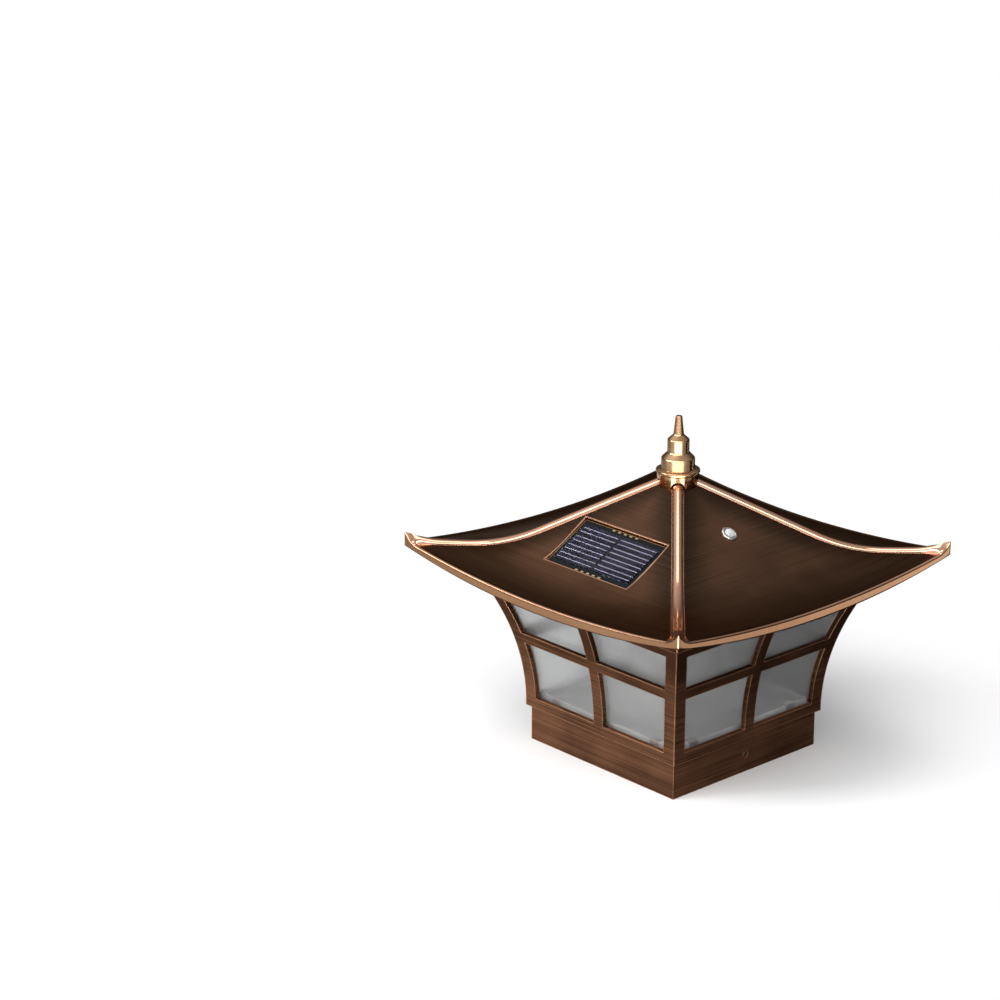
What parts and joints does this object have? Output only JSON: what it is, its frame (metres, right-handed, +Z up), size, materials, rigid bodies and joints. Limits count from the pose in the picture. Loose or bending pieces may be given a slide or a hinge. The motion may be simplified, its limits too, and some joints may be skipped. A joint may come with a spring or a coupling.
{
  "type": "deck post cap light",
  "caption": "Square solar light that caps a deck post: flared lantern with frosted panes under a pagoda roof with upturned eaves, a finial, a solar panel and a light sensor.",
  "frame": {"origin": "bottom centre of the post collar", "axes": "+Z up along the post, -Y towards the solar panel, +X towards the light sensor"},
  "size_m": [0.2048, 0.2048, 0.1847],
  "materials": {
    "roof_copper": "antique copper plating, brushed, dark in the field",
    "body_copper": "antique copper plating, brushed, lighter on the edges",
    "bright_copper": "bright brushed copper",
    "frosted_glass": "frosted",
    "clear_lens": "clear, glossy",
    "white_plastic": "satin moulded",
    "opal_plastic": "opal, smooth",
    "black_plastic": "fine grain",
    "steel": "zinc plated",
    "bezel_metal": "polished",
    "gasket_rubber": "matt",
    "panel_board": "solder mask",
    "cell_silicon": "dark blue black, gloss",
    "pad_gold": "gold flashed",
    "battery_sleeve": "shrink sleeve",
    "circuit_green": "solder mask",
    "emitter_yellow": "phosphor"
  },
  "bodies": {
    "lantern": {"post_collar": "body_copper", "deck_screws": "steel", "deck_plate": "white_plastic", "frame_front": "body_copper", "frame_right": "body_copper", "frame_back": "body_copper", "frame_left": "body_copper", "pane_front": "frosted_glass", "pane_right": "frosted_glass", "pane_back": "frosted_glass", "pane_left": "frosted_glass", "pane_clips": "steel", "crown_ring": "body_copper", "crown_nut": "steel", "roof_gasket": "gasket_rubber", "centre_rod": "steel", "roof_shell": "roof_copper", "finial": "bright_copper", "solar_board": "panel_board", "solar_cells": "cell_silicon", "solar_cover": "clear_lens", "solder_pads": "pad_gold", "sensor_bezel": "bezel_metal", "sensor_lens": "clear_lens", "photocell": "cell_silicon", "battery_housing": "white_plastic", "battery_cell": "battery_sleeve", "battery_contacts": "steel", "door_pin": "steel", "circuit_board": "circuit_green", "board_parts": "black_plastic", "switch_body": "black_plastic", "led_board": "circuit_green", "led_emitters": "emitter_yellow", "diffuser": "opal_plastic"},
    "door": {"battery_door": "white_plastic"},
    "switch": {"switch_knob": "black_plastic"}
  },
  "joints": [
    {"name": "battery_door_hinge", "type": "hinge", "parent": "lantern", "child": "door", "pos_m": [0, -0.024, 0.0217], "axis": [-1, 0, 0], "range_deg": [0, 100]},
    {"name": "power_switch_slide", "type": "slide", "parent": "lantern", "child": "switch", "axis": [1, 0, 0], "range_m": [0, 0.004]}
  ]
}
